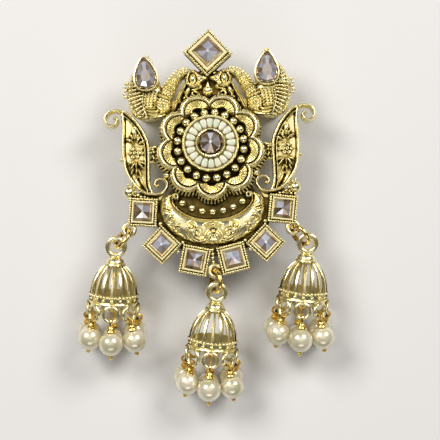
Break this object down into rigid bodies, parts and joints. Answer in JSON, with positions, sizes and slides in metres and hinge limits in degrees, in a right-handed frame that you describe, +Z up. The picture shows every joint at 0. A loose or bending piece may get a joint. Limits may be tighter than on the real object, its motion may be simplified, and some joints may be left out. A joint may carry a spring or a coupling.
{
  "type": "animal brooch",
  "caption": "Lying antique gold brooch with facing peacocks, a stone-set flower, leaf panels, a crescent with square stones, and pierced bells with pearls.",
  "frame": {"origin": "on the surface that the brooch lies on, under the middle of its outline", "axes": "+Z up from the surface to the stones, +Y towards the brooch's own top, +X to the right as seen from above"},
  "size_m": [0.052, 0.0756, 0.0135],
  "materials": {
    "antique_gold": "cast, polished on the high places and oxidised dark in the recesses",
    "bright_gold_wire": "polished",
    "champagne_stone": "cut and foil-backed",
    "mint_bead": "glossy",
    "pearl": "pearl lustre"
  },
  "bodies": {
    "root": {"frame": "antique_gold", "top_stone": "champagne_stone", "tear_stone_left": "champagne_stone", "tear_stone_right": "champagne_stone", "centre_stone": "champagne_stone", "seed_beads": "mint_bead", "square_stone_1": "champagne_stone", "square_stone_2": "champagne_stone", "square_stone_3": "champagne_stone", "square_stone_4": "champagne_stone", "square_stone_5": "champagne_stone", "square_stone_6": "champagne_stone", "brooch_pin": "antique_gold", "jump_ring_left": "antique_gold", "jump_ring_middle": "antique_gold", "jump_ring_right": "antique_gold", "bell_left": "antique_gold", "bell_middle": "antique_gold", "bell_right": "antique_gold", "headpins_left": "bright_gold_wire", "headpins_middle": "bright_gold_wire", "headpins_right": "bright_gold_wire", "pearl_left_1": "pearl", "pearl_left_2": "pearl", "pearl_left_3": "pearl", "pearl_left_4": "pearl", "pearl_left_5": "pearl", "pearl_left_6": "pearl", "pearl_middle_1": "pearl", "pearl_middle_2": "pearl", "pearl_middle_3": "pearl", "pearl_middle_4": "pearl", "pearl_middle_5": "pearl", "pearl_middle_6": "pearl", "pearl_right_1": "pearl", "pearl_right_2": "pearl", "pearl_right_3": "pearl", "pearl_right_4": "pearl", "pearl_right_5": "pearl", "pearl_right_6": "pearl"}
  },
  "joints": []
}
